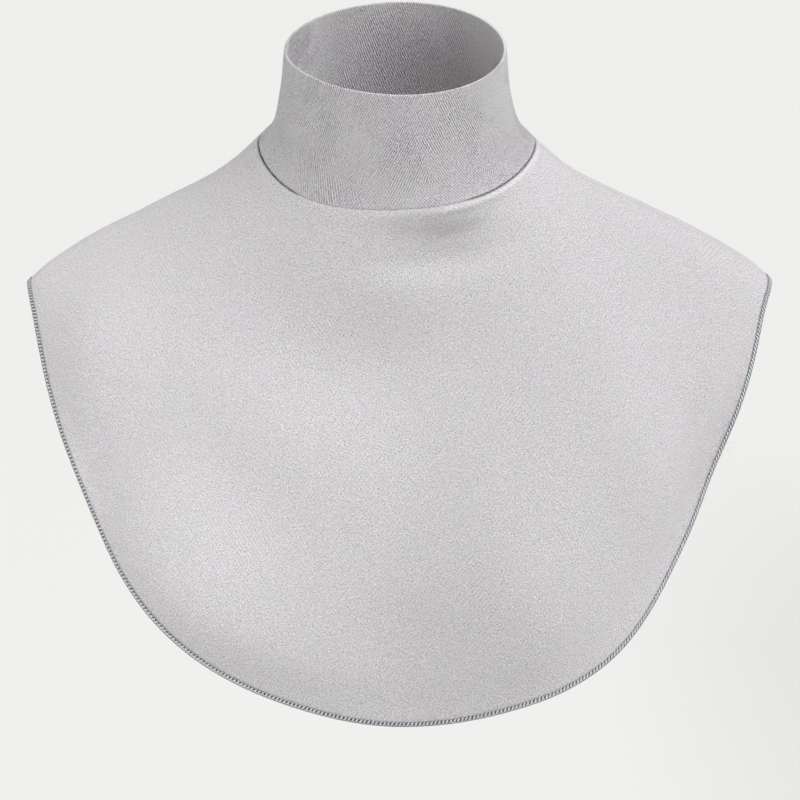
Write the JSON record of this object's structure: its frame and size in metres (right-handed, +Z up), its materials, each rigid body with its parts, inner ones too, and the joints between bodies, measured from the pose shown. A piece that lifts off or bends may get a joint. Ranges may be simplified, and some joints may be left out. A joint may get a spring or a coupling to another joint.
{
  "type": "turtleneck dickey",
  "caption": "Mock-neck dickey in knit jersey: a folded collar on a rounded front bib and back bib with an overlocked edge, as worn.",
  "frame": {"origin": "middle of the neck, level with the two points where the collar, the front bib and the back bib meet", "axes": "+X towards the wearer's left, -Y towards the wearer's front, +Z up along the neck"},
  "size_m": [0.3976, 0.2055, 0.3496],
  "materials": {
    "bib_jersey": "fine matt knit jersey, pale lilac grey",
    "collar_jersey": "the same jersey folded double, its twill side out",
    "overlock_thread": "spun thread in close overlock stitches, grey"
  },
  "bodies": {
    "root": {"collar": "collar_jersey", "front_bib": "bib_jersey", "back_bib": "bib_jersey", "neck_turnings": "overlock_thread", "shoulder_turnings_left": "overlock_thread", "shoulder_turnings_right": "overlock_thread", "overlocked_edge": "overlock_thread"}
  },
  "joints": []
}
